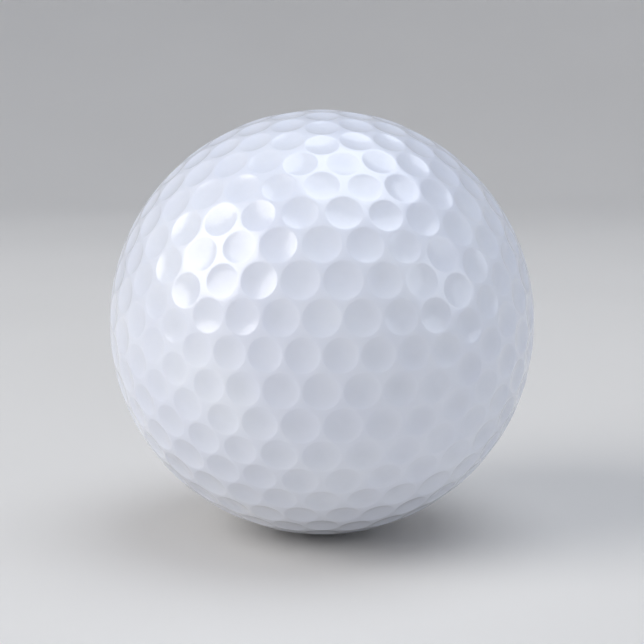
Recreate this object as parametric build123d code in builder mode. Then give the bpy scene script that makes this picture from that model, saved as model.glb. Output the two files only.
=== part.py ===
from build123d import *
from build123d.topology import SkipClean
import itertools
import math
import os

# A golf ball as its four moulded pieces: a soft rubber inner core, a firmer rubber
# outer core round it, an ionomer mantle and a thin dimpled urethane cover.
# Millimetres. The origin is the ball's centre. The ball has no up of its own: +Z is
# the axis that stands on the tee, and it meets the cover on a land between dimples.

# ---- driving dimensions -------------------------------------------------------------
BALL_DIAMETER = 42.67  # the least that the rules of golf allow, 1.680 inches
COVER_THICKNESS = 0.78  # under a land
MANTLE_THICKNESS = 1.10
INNER_CORE_DIAMETER = 25.40

FREQUENCY = 7  # steps along an icosahedron's edge: 10 * 7**2 + 2 = 492 dimples
LAND_WIDTH = 0.16  # narrowest land between two dimples
DIMPLE_DEPTH = 0.17  # from the plane of the rim to the bottom
CUTTER_LIP = 0.05  # how far a cutter's edge runs on past the rim, sideways
CUTTER_CROWN = 0.15  # how far a cutter's middle stands above the ball's surface

# ---- worked out ---------------------------------------------------------------------
BALL_RADIUS = BALL_DIAMETER / 2
MANTLE_RADIUS = BALL_RADIUS - COVER_THICKNESS
OUTER_CORE_RADIUS = MANTLE_RADIUS - MANTLE_THICKNESS
INNER_CORE_RADIUS = INNER_CORE_DIAMETER / 2

GOLDEN_RATIO = (1 + math.sqrt(5)) / 2
EDGE_ANGLE = math.atan(2)  # between two neighbouring corners, seen from the centre


def icosahedron_corners():
    """The twelve corners as unit vectors, with X, Y and Z through the middles of edges."""
    corners = []
    for near, far in itertools.product((1, -1), (GOLDEN_RATIO, -GOLDEN_RATIO)):
        corners += [Vector(0, near, far), Vector(near, far, 0), Vector(far, 0, near)]
    return [corner.normalized() for corner in corners]


def icosahedron_triangles(corners):
    """The twenty faces, each as its three corners."""
    def neighbours(first, second):
        return math.isclose(first.dot(second), math.cos(EDGE_ANGLE), abs_tol=1e-6)

    return [
        triangle
        for triangle in itertools.combinations(corners, 3)
        if all(neighbours(a, b) for a, b in itertools.combinations(triangle, 2))
    ]


def dimple_directions():
    """Unit vectors to the dimples' centres: even steps along each edge, and rows between.

    Triangles share the dimples on their edges, so each direction is kept once.
    """
    directions = {}
    for triangle in icosahedron_triangles(icosahedron_corners()):
        for i, j in itertools.product(range(FREQUENCY + 1), repeat=2):
            if i + j > FREQUENCY:
                continue
            steps = (i, j, FREQUENCY - i - j)
            weights = [math.sin(step / FREQUENCY * EDGE_ANGLE) for step in steps]
            centre = sum((w * c for w, c in zip(weights, triangle)), Vector(0, 0, 0)).normalized()
            directions[tuple(round(value, 6) + 0.0 for value in centre)] = centre
    return list(directions.values())


def dimple_diameter(centre, directions):
    """As wide as the nearest neighbour allows, measured straight across the rim."""
    nearest = max(centre.dot(other) for other in directions if other is not centre)
    rim_angle = math.acos(nearest) / 2 - LAND_WIDTH / 2 / BALL_RADIUS
    return 2 * BALL_RADIUS * math.sin(rim_angle)


def dimple_cutter(diameter):
    """A lens along +Z whose underside is one dimple, standing just proud of the ball."""
    rim_radius = diameter / 2
    rim_height = math.sqrt(BALL_RADIUS**2 - rim_radius**2)
    scoop_radius = (rim_radius**2 + DIMPLE_DEPTH**2) / (2 * DIMPLE_DEPTH)
    scoop_centre = rim_height - DIMPLE_DEPTH + scoop_radius
    lip_radius = rim_radius + CUTTER_LIP
    lip_height = scoop_centre - math.sqrt(scoop_radius**2 - lip_radius**2)
    half_radius = lip_radius / 2
    half_height = scoop_centre - math.sqrt(scoop_radius**2 - half_radius**2)
    bottom = (0, scoop_centre - scoop_radius)
    crown = (0, BALL_RADIUS + CUTTER_CROWN)
    with BuildPart() as cutter:
        with BuildSketch(Plane.XZ):
            with BuildLine():
                ThreePointArc(bottom, (half_radius, half_height), (lip_radius, lip_height))
                Polyline((lip_radius, lip_height), crown, bottom)
            make_face()
        revolve(axis=Axis.Z)
    return cutter.part


def dimple_cutters():
    """One cutter for each dimple, in its place. Dimples of one size share one shape."""
    directions = dimple_directions()
    shapes = {}
    cutters = []
    for centre in directions:
        diameter = round(dimple_diameter(centre, directions), 4)
        if diameter not in shapes:
            shapes[diameter] = dimple_cutter(diameter)
        cutters.append(shapes[diameter].moved(Plane(origin=(0, 0, 0), z_dir=centre).location))
    print(len(cutters), "dimples, diameters", sorted(shapes))
    return cutters


def finish(piece, name):
    """Labels a finished piece and writes it as one STEP file."""
    piece.part.label = name
    export_step(piece.part, f"parts/{name}.step")


os.makedirs("parts", exist_ok=True)

# Soft rubber ball at the centre.
with BuildPart() as inner_core:
    Sphere(radius=INNER_CORE_RADIUS)
finish(inner_core, "inner_core")

# Firmer rubber moulded round it.
with BuildPart() as outer_core:
    Sphere(radius=OUTER_CORE_RADIUS)
    Sphere(radius=INNER_CORE_RADIUS, mode=Mode.SUBTRACT)
finish(outer_core, "outer_core")

# Stiff ionomer layer between core and cover.
with BuildPart() as mantle:
    Sphere(radius=MANTLE_RADIUS)
    Sphere(radius=OUTER_CORE_RADIUS, mode=Mode.SUBTRACT)
finish(mantle, "mantle")

# Thin urethane cover with its dimples. It is cast in two half moulds that meet in the XZ
# plane. Their joint stays an edge of the model, because a face that runs all round the
# ball can't carry dimples across its own seam.
with SkipClean():
    with BuildPart() as cover:
        with BuildSketch(Plane.XZ) as wall:
            Circle(BALL_RADIUS)
            Circle(MANTLE_RADIUS, mode=Mode.SUBTRACT)
            split(bisect_by=Plane.YZ)
        for half_turn in (180, -180):
            revolve(wall.sketch, axis=Axis.Z, revolution_arc=half_turn, clean=False)
        add(dimple_cutters(), clean=False, mode=Mode.SUBTRACT)
finish(cover, "cover")
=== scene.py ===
import itertools
import math

import bmesh
import bpy
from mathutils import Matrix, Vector


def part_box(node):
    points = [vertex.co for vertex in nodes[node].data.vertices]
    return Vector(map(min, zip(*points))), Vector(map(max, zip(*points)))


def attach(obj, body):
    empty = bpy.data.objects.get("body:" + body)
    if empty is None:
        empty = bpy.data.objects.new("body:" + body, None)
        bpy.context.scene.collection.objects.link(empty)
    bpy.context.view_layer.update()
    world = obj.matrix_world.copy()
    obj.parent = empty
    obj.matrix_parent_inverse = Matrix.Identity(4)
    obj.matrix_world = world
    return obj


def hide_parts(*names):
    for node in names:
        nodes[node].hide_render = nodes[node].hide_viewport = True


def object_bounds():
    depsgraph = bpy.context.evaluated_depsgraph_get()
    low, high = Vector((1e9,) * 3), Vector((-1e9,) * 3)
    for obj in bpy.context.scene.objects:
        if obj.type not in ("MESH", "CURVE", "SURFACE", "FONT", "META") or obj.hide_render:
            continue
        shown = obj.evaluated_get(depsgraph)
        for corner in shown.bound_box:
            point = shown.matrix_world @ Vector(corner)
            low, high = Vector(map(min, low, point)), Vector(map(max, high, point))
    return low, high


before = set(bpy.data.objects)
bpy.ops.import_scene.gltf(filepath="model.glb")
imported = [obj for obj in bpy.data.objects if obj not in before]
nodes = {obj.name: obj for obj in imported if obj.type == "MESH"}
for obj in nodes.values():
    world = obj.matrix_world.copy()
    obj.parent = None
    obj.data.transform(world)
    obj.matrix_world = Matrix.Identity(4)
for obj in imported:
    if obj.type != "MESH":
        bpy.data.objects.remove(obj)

# A golf ball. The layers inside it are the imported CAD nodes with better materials, and
# its cover is one finer mesh in the place of the CAD cover: the same 492 dimples, with
# the soft rims that paint gives them. Metres, with the ball's centre at the origin.

cad_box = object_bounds()

MM = 0.001

# ---- the ball, from the frame -------------------------------------------------------
BALL_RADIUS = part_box("cover")[1].x
MANTLE_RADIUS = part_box("mantle")[1].z

# ---- dimple pattern, as in the CAD model --------------------------------------------
FREQUENCY = 7  # steps along an icosahedron's edge
EDGE_ANGLE = math.atan(2)  # between neighbouring corners of an icosahedron
LAND_WIDTH = 0.16 * MM
DIMPLE_DEPTH = 0.17 * MM
FULL_DEPTH = 0.25 * MM  # a dimple's bottom below the ball's round surface

# ---- mesh ---------------------------------------------------------------------------
RIM_INSIDE = 0.15 * MM  # how far the painted rim's rounding reaches into the dimple
RIM_OUTSIDE = 0.065 * MM  # and on to the land
BOWL_SHARES = (0.35, 0.65, 0.87, 1.0)  # rings across the bowl, as shares of its radius
RIM_SHARES = (1 / 3, 2 / 3, 1.0)  # rings across the rim's rounding
SIDE_STEPS = 4  # points along each side of the cell round a dimple
SKIN_GAP = 0.02 * MM  # between the cover's inner wall and the mantle
MERGE_DISTANCE = 0.002 * MM


# ---- the cover's shape --------------------------------------------------------------
def icosahedron_triangles():
    """The twenty faces as corners, with X, Y and Z through the middles of edges."""
    golden_ratio = (1 + math.sqrt(5)) / 2
    corners = []
    for near, far in itertools.product((1, -1), (golden_ratio, -golden_ratio)):
        corners += [Vector((0, near, far)), Vector((near, far, 0)), Vector((far, 0, near))]
    corners = [corner.normalized() for corner in corners]

    def neighbours(pair):
        return math.isclose(pair[0].dot(pair[1]), math.cos(EDGE_ANGLE), abs_tol=1e-5)

    return [
        triangle
        for triangle in itertools.combinations(corners, 3)
        if all(neighbours(pair) for pair in itertools.combinations(triangle, 2))
    ]


def dimple_grid():
    """Unit vectors to the dimples, and the triangles between neighbouring dimples."""
    centres, triangles, known = [], [], {}

    def dimple(corners, steps):
        """The index of the dimple that stands these steps from the face's corners."""
        weights = [math.sin(step / FREQUENCY * EDGE_ANGLE) for step in steps]
        centre = sum((w * c for w, c in zip(weights, corners)), Vector()).normalized()
        key = tuple(round(value, 4) + 0.0 for value in centre)
        if key not in known:
            known[key] = len(centres)
            centres.append(centre)
        return known[key]

    for corners in icosahedron_triangles():
        for i, j in itertools.product(range(FREQUENCY), repeat=2):
            k = FREQUENCY - i - j
            across, along, beyond = (i + 1, j, k - 1), (i, j + 1, k - 1), (i + 1, j + 1, k - 2)
            if k >= 1:
                triangles.append([dimple(corners, s) for s in ((i, j, k), across, along)])
            if k >= 2:
                triangles.append([dimple(corners, s) for s in (across, beyond, along)])
    return centres, triangles


def azimuth_frame(axis):
    """Two unit vectors square to the axis and to each other, right-handed with it."""
    first = axis.orthogonal().normalized()
    return first, axis.cross(first)


def cell_outlines(centres, triangles):
    """Round each dimple, the points midway to its neighbours, counter-clockwise."""
    corners_round = [[] for _ in centres]
    for triangle in triangles:
        a, b, c = (centres[index] for index in triangle)
        corner = (b - a).cross(c - a).normalized()
        if corner.dot(a) < 0:
            corner.negate()
        for index in triangle:
            corners_round[index].append(corner)
    outlines = []
    for axis, corners in zip(centres, corners_round):
        first, second = azimuth_frame(axis)
        corners.sort(key=lambda p: math.atan2(p.dot(second), p.dot(first)))
        outlines.append([
            corner.lerp(following, step / SIDE_STEPS).normalized()
            for corner, following in zip(corners, corners[1:] + corners[:1])
            for step in range(SIDE_STEPS)
        ])
    return outlines


def rim_radius(axis, centres):
    """As wide as the nearest neighbour allows, as in the CAD model."""
    nearest = max(axis.dot(other) for other in centres if other is not axis)
    angle = math.acos(nearest) / 2 - LAND_WIDTH / 2 / BALL_RADIUS
    return BALL_RADIUS * math.sin(angle)


def dimple_profile(rim):
    """(distance from the dimple's axis, height along it) of each ring, inside first.

    The bowl is part of a sphere. A cubic curve then rounds the rim, level with the bowl
    where it starts and with the ball's surface where it ends.
    """
    rim_height = math.sqrt(BALL_RADIUS**2 - rim**2)
    bowl_sphere = (rim**2 + DIMPLE_DEPTH**2) / (2 * DIMPLE_DEPTH)
    bowl_centre = rim_height - DIMPLE_DEPTH + bowl_sphere
    start, end = rim - RIM_INSIDE, rim + RIM_OUTSIDE

    def bowl_height(distance):
        return bowl_centre - math.sqrt(bowl_sphere**2 - distance**2)

    low, high = bowl_height(start), math.sqrt(BALL_RADIUS**2 - end**2)
    low_rise = (end - start) * start / math.sqrt(bowl_sphere**2 - start**2)
    high_rise = -(end - start) * end / high
    rings = [(0.0, bowl_height(0.0))]
    rings += [(start * share, bowl_height(start * share)) for share in BOWL_SHARES]
    for t in RIM_SHARES:
        height = low * (2 * t**3 - 3 * t**2 + 1) + low_rise * (t**3 - 2 * t**2 + t)
        height += high * (3 * t**2 - 2 * t**3) + high_rise * (t**3 - t**2)
        rings.append((start + t * (end - start), height))
    return rings


def add_fan(faces, middle, ring, outwards):
    """Triangles from a middle point to a closed ring of points."""
    for here, following in zip(ring, ring[1:] + ring[:1]):
        faces.append((middle, here, following) if outwards else (middle, following, here))


def add_band(faces, inner, outer):
    """Quads between two closed rings with as many points each, facing outwards."""
    pairs = list(zip(inner, outer))
    for (a, b), (d, c) in zip(pairs, pairs[1:] + pairs[:1]):
        faces.append((a, b, c, d))


def build_cover():
    """The dimpled outer surface and the plain inner wall, as one closed shell."""
    centres, triangles = dimple_grid()
    vertices, faces = [], []

    def add_points(points):
        vertices.extend(points)
        return list(range(len(vertices) - len(points), len(vertices)))

    for axis, outline in zip(centres, cell_outlines(centres, triangles)):
        spokes = [(point - axis * point.dot(axis)).normalized() for point in outline]
        profile = dimple_profile(rim_radius(axis, centres))
        bottom = add_points([axis * profile[0][1]])[0]
        rings = [
            add_points([spoke * distance + axis * height for spoke in spokes])
            for distance, height in profile[1:]
        ]
        rings.append(add_points([point * BALL_RADIUS for point in outline]))
        add_fan(faces, bottom, rings[0], outwards=True)
        for inner, outer in zip(rings, rings[1:]):
            add_band(faces, inner, outer)
        wall_radius = MANTLE_RADIUS + SKIN_GAP
        wall_middle = add_points([axis * wall_radius])[0]
        wall_ring = add_points([point * wall_radius for point in outline])
        add_fan(faces, wall_middle, wall_ring, outwards=False)

    mesh = bpy.data.meshes.new("dimpled_cover")
    mesh.from_pydata(vertices, [], faces)
    joined = bmesh.new()
    joined.from_mesh(mesh)
    bmesh.ops.remove_doubles(joined, verts=joined.verts, dist=MERGE_DISTANCE)
    joined.to_mesh(mesh)
    joined.free()
    mesh.shade_smooth()
    cover = bpy.data.objects.new("dimpled_cover", mesh)
    bpy.context.scene.collection.objects.link(cover)
    return cover


# ---- materials ----------------------------------------------------------------------
# Red, green, blue and opacity. Most surfaces wander between a dark and a pale colour.
COVER_DARK = (0.76, 0.79, 0.89, 1)
COVER_PALE = (0.81, 0.84, 0.92, 1)
# Grey-blue painted shade for the dimple bottoms.
DIMPLE_SHADE = (0.60, 0.63, 0.70, 1)
MANTLE_DARK = (0.74, 0.74, 0.70, 1)
MANTLE_PALE = (0.82, 0.82, 0.78, 1)
OUTER_RUBBER_DARK = (0.62, 0.30, 0.15, 1)
OUTER_RUBBER_PALE = (0.72, 0.38, 0.20, 1)
INNER_RUBBER_DARK = (0.11, 0.25, 0.33, 1)
INNER_RUBBER_PALE = (0.16, 0.33, 0.42, 1)
RUBBER_FILLER = (0.75, 0.73, 0.68, 1)
FLOOR_DARK = (0.73, 0.71, 0.675, 1)
FLOOR_PALE = (0.77, 0.75, 0.715, 1)

POLYMER_IOR = 1.5  # paint, clear coat, ionomer and rubber alike
PAINT_GLOW_REACH = 0.6 * MM  # how far light spreads inside the paint and the cover
MANTLE_GLOW_REACH = 1.0 * MM
PAINT_RIPPLE = 0.016 * MM
RUBBER_GRAIN = 0.02 * MM
MANTLE_RIPPLE = 0.01 * MM


class Surface:
    """One Principled material with the few node recipes that this object needs."""

    def __init__(self, name, **constants):
        self.material = bpy.data.materials.new(name)
        self.material.use_nodes = True
        self.tree = self.material.node_tree
        self.shader = self.tree.nodes["Principled BSDF"]
        self.place = self.tree.nodes.new("ShaderNodeTexCoord").outputs["Object"]
        for socket, value in constants.items():
            self.shader.inputs[socket.replace("_", " ")].default_value = value

    def link(self, value, socket):
        """Joins an output to an input, or sets the input if value is a constant."""
        if isinstance(value, bpy.types.NodeSocket):
            self.tree.links.new(value, socket)
        else:
            socket.default_value = value

    def noise(self, scale, detail):
        """An uneven pattern of values from 0 to 1, about scale patches to the metre."""
        node = self.tree.nodes.new("ShaderNodeTexNoise")
        node.inputs["Scale"].default_value = scale
        node.inputs["Detail"].default_value = detail
        self.tree.links.new(self.place, node.inputs["Vector"])
        return node.outputs["Fac"]

    def spread(self, value, low, high, to_low=0.0, to_high=1.0):
        """Maps value's range low to high on to to_low to to_high, and stops at the ends."""
        node = self.tree.nodes.new("ShaderNodeMapRange")
        self.link(value, node.inputs["Value"])
        node.inputs["From Min"].default_value = low
        node.inputs["From Max"].default_value = high
        node.inputs["To Min"].default_value = to_low
        node.inputs["To Max"].default_value = to_high
        return node.outputs["Result"]

    def maths(self, operation, first, second):
        """One operation on two values."""
        node = self.tree.nodes.new("ShaderNodeMath")
        node.operation = operation
        self.link(first, node.inputs[0])
        self.link(second, node.inputs[1])
        return node.outputs["Value"]

    def blend(self, share, first, second):
        """Colour from first to second as share goes from 0 to 1."""
        node = self.tree.nodes.new("ShaderNodeMix")
        node.data_type = "RGBA"
        # The node has sockets of the same name for numbers, vectors and colours.
        factor, a, b = (node.inputs[index] for index in (0, 6, 7))
        self.link(share, factor)
        self.link(first, a)
        self.link(second, b)
        return node.outputs[2]

    def depth(self, radius, full_depth):
        """0 on the round surface of that radius, 1 at full_depth below it."""
        node = self.tree.nodes.new("ShaderNodeVectorMath")
        node.operation = "LENGTH"
        self.tree.links.new(self.place, node.inputs[0])
        return self.spread(node.outputs["Value"], radius, radius - full_depth)

    def bump(self, height, distance, *sockets):
        """Relief of that height, on the shader's normal and on any others named."""
        node = self.tree.nodes.new("ShaderNodeBump")
        node.inputs["Distance"].default_value = distance
        self.link(height, node.inputs["Height"])
        for socket in ("Normal", *sockets):
            self.link(node.outputs["Normal"], self.shader.inputs[socket])

    def paint(self, socket, value):
        """Connects a value to one of the shader's own sockets."""
        self.link(value, self.shader.inputs[socket])


def cover_material():
    """Cool white paint under a clear coat: faintly uneven, with painted shade in the dimples,
    which are also duller.
    """
    surface = Surface(
        "cover_paint",
        IOR=POLYMER_IOR,
        Coat_Weight=1.0,
        Coat_Roughness=0.16,
        Coat_IOR=POLYMER_IOR,
        Subsurface_Weight=0.12,
        Subsurface_Radius=(1.0, 0.9, 0.8),
        Subsurface_Scale=PAINT_GLOW_REACH,
    )
    clouds = surface.spread(surface.noise(scale=110, detail=3), 0.35, 0.65)
    paint = surface.blend(clouds, COVER_DARK, COVER_PALE)
    patches = surface.noise(scale=420, detail=4)
    # Painted shade: the paint turns grey-blue towards the dimple bottoms, in patches. The same
    # mask also makes the dimples duller.
    dimple_shade_and_dullness = surface.maths(
        "MULTIPLY",
        surface.depth(BALL_RADIUS, FULL_DEPTH),
        surface.spread(patches, 0.3, 0.75, to_low=0.10, to_high=0.38),
    )
    surface.paint("Base Color", surface.blend(dimple_shade_and_dullness, paint, DIMPLE_SHADE))
    # At least 0.30, because the renderer's denoiser outlines patches smoother than 0.28.
    grain = surface.noise(scale=700, detail=3)
    dullness = surface.spread(grain, 0.3, 0.7, to_low=0.30, to_high=0.40)
    surface.paint("Roughness", surface.maths("ADD", dullness, dimple_shade_and_dullness))
    surface.bump(surface.noise(scale=950, detail=2), PAINT_RIPPLE, "Coat Normal")
    return surface.material


def rubber_material(name, dark, pale):
    """Moulded rubber: filler specks, a faint flow pattern and a fine dull grain."""
    surface = Surface(name, IOR=POLYMER_IOR)
    flow = surface.spread(surface.noise(scale=160, detail=4), 0.35, 0.65)
    body = surface.blend(flow, dark, pale)
    specks = surface.spread(surface.noise(scale=1500, detail=1), 0.66, 0.72)
    surface.paint("Base Color", surface.blend(specks, body, RUBBER_FILLER))
    surface.paint("Roughness", surface.spread(flow, 0, 1, to_low=0.55, to_high=0.70))
    surface.bump(surface.noise(scale=900, detail=3), RUBBER_GRAIN)
    return surface.material


def mantle_material():
    """Milky ionomer with faint flow marks from the mould."""
    surface = Surface(
        "mantle_ionomer",
        IOR=POLYMER_IOR,
        Subsurface_Weight=0.3,
        Subsurface_Scale=MANTLE_GLOW_REACH,
    )
    flow = surface.spread(surface.noise(scale=140, detail=3), 0.35, 0.65)
    surface.paint("Base Color", surface.blend(flow, MANTLE_DARK, MANTLE_PALE))
    surface.paint("Roughness", surface.spread(flow, 0, 1, to_low=0.32, to_high=0.42))
    surface.bump(surface.noise(scale=500, detail=2), MANTLE_RIPPLE)
    return surface.material


def floor_material():
    """Plain pale matt studio floor."""
    surface = Surface("stage_floor")
    clouds = surface.noise(scale=9, detail=2)
    surface.paint("Base Color", surface.blend(clouds, FLOOR_DARK, FLOOR_PALE))
    dullness = surface.spread(clouds, 0.3, 0.7, to_low=0.5, to_high=0.6)
    surface.paint("Roughness", dullness)
    return surface.material


def wear(piece, material):
    """Gives a piece that one material."""
    piece.data.materials.clear()
    piece.data.materials.append(material)


# ---- studio -------------------------------------------------------------------------
FLOOR_RADIUS = 0.50
COVE_RADIUS = 0.50  # of the curve from the floor up to the wall
WALL_HEIGHT = 1.25
COVE_STEPS = 24
AROUND_STEPS = 96


def build_stage(floor_height):
    """A round floor that curves up into a wall all round, open at the top."""
    profile = [(0.0, 0.0), (FLOOR_RADIUS, 0.0)]
    for step in range(1, COVE_STEPS + 1):
        angle = math.pi / 2 * step / COVE_STEPS
        profile.append((
            FLOOR_RADIUS + COVE_RADIUS * math.sin(angle),
            COVE_RADIUS * (1 - math.cos(angle)),
        ))
    profile.append((FLOOR_RADIUS + COVE_RADIUS, WALL_HEIGHT))
    form = bmesh.new()
    line = [form.verts.new((radius, 0, floor_height + height)) for radius, height in profile]
    edges = [form.edges.new(pair) for pair in zip(line, line[1:])]
    bmesh.ops.spin(
        form,
        geom=line + edges,
        axis=(0, 0, 1),
        cent=(0, 0, 0),
        angle=2 * math.pi,
        steps=AROUND_STEPS,
        use_merge=True,
    )
    bmesh.ops.remove_doubles(form, verts=form.verts, dist=MERGE_DISTANCE)
    bmesh.ops.recalc_face_normals(form, faces=form.faces)
    mesh = bpy.data.meshes.new("stage_floor")
    form.to_mesh(mesh)
    form.free()
    mesh.shade_smooth()
    stage = bpy.data.objects.new("stage_floor", mesh)
    bpy.context.scene.collection.objects.link(stage)
    wear(stage, floor_material())


LIGHT_SPREAD = math.radians(130)  # narrow enough to keep the floor under a light even
SURROUNDINGS_COLOUR = (0.68, 0.77, 1.0, 1)
SURROUNDINGS_STRENGTH = 0.40


def add_light(name, place, size, power, colour):
    """A round soft light that faces the ball."""
    lamp = bpy.data.lights.new(name, "AREA")
    lamp.shape = "DISK"
    lamp.spread = LIGHT_SPREAD
    lamp.size = size
    lamp.energy = power
    lamp.color = colour
    light = bpy.data.objects.new(name, lamp)
    light.location = place
    light.rotation_euler = (-Vector(place)).to_track_quat("-Z", "Y").to_euler()
    bpy.context.scene.collection.objects.link(light)


def build_lights():
    """Soft daylight from the upper left and from above, and a weak fill from the right."""
    add_light("key", (-0.65, -0.29, 0.46), size=0.70, power=2.45, colour=(1.0, 0.99, 0.98))
    add_light("sky", (0.20, 0.03, 0.85), size=0.80, power=1.95, colour=(0.88, 0.93, 1.0))
    add_light("fill", (0.72, -0.26, 0.24), size=0.46, power=0.42, colour=(0.84, 0.90, 1.0))
    world = bpy.data.worlds.new("studio")
    world.use_nodes = True
    background = world.node_tree.nodes["Background"]
    background.inputs["Color"].default_value = SURROUNDINGS_COLOUR
    background.inputs["Strength"].default_value = SURROUNDINGS_STRENGTH
    bpy.context.scene.world = world
    bpy.context.scene.view_settings.view_transform = "Standard"


CAMERA_ELEVATION = math.radians(8)
LENS = 85.0  # this and the sensor's width are in millimetres
SENSOR = 36.0
BALL_SHARE = 0.66  # of the picture's width
NEAR_CLIP_SHARE = 0.05  # of the camera's distance
FAR_CLIP = 10.0


def build_camera():
    """Level with the ball and a little above it, looking along +Y at its centre."""
    camera = bpy.data.cameras.new("camera")
    camera.lens = LENS
    camera.sensor_width = SENSOR
    half_width = SENSOR / 2 / LENS
    distance = BALL_RADIUS / math.sin(math.atan(BALL_SHARE * half_width))
    camera.clip_start = distance * NEAR_CLIP_SHARE
    camera.clip_end = FAR_CLIP
    view = bpy.data.objects.new("camera", camera)
    back = Vector((0, -math.cos(CAMERA_ELEVATION), math.sin(CAMERA_ELEVATION)))
    view.location = back * distance
    view.rotation_euler = (-back).to_track_quat("-Z", "Y").to_euler()
    bpy.context.scene.collection.objects.link(view)
    bpy.context.scene.camera = view


# ---- putting it together ------------------------------------------------------------
cover = build_cover()
wear(cover, cover_material())
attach(cover, "root")
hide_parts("cover")

outer_rubber = rubber_material("outer_rubber", OUTER_RUBBER_DARK, OUTER_RUBBER_PALE)
inner_rubber = rubber_material("inner_rubber", INNER_RUBBER_DARK, INNER_RUBBER_PALE)
wear(nodes["mantle"], mantle_material())
wear(nodes["outer_core"], outer_rubber)
wear(nodes["inner_core"], inner_rubber)

build_stage(floor_height=cad_box[0].z)
build_lights()
build_camera()
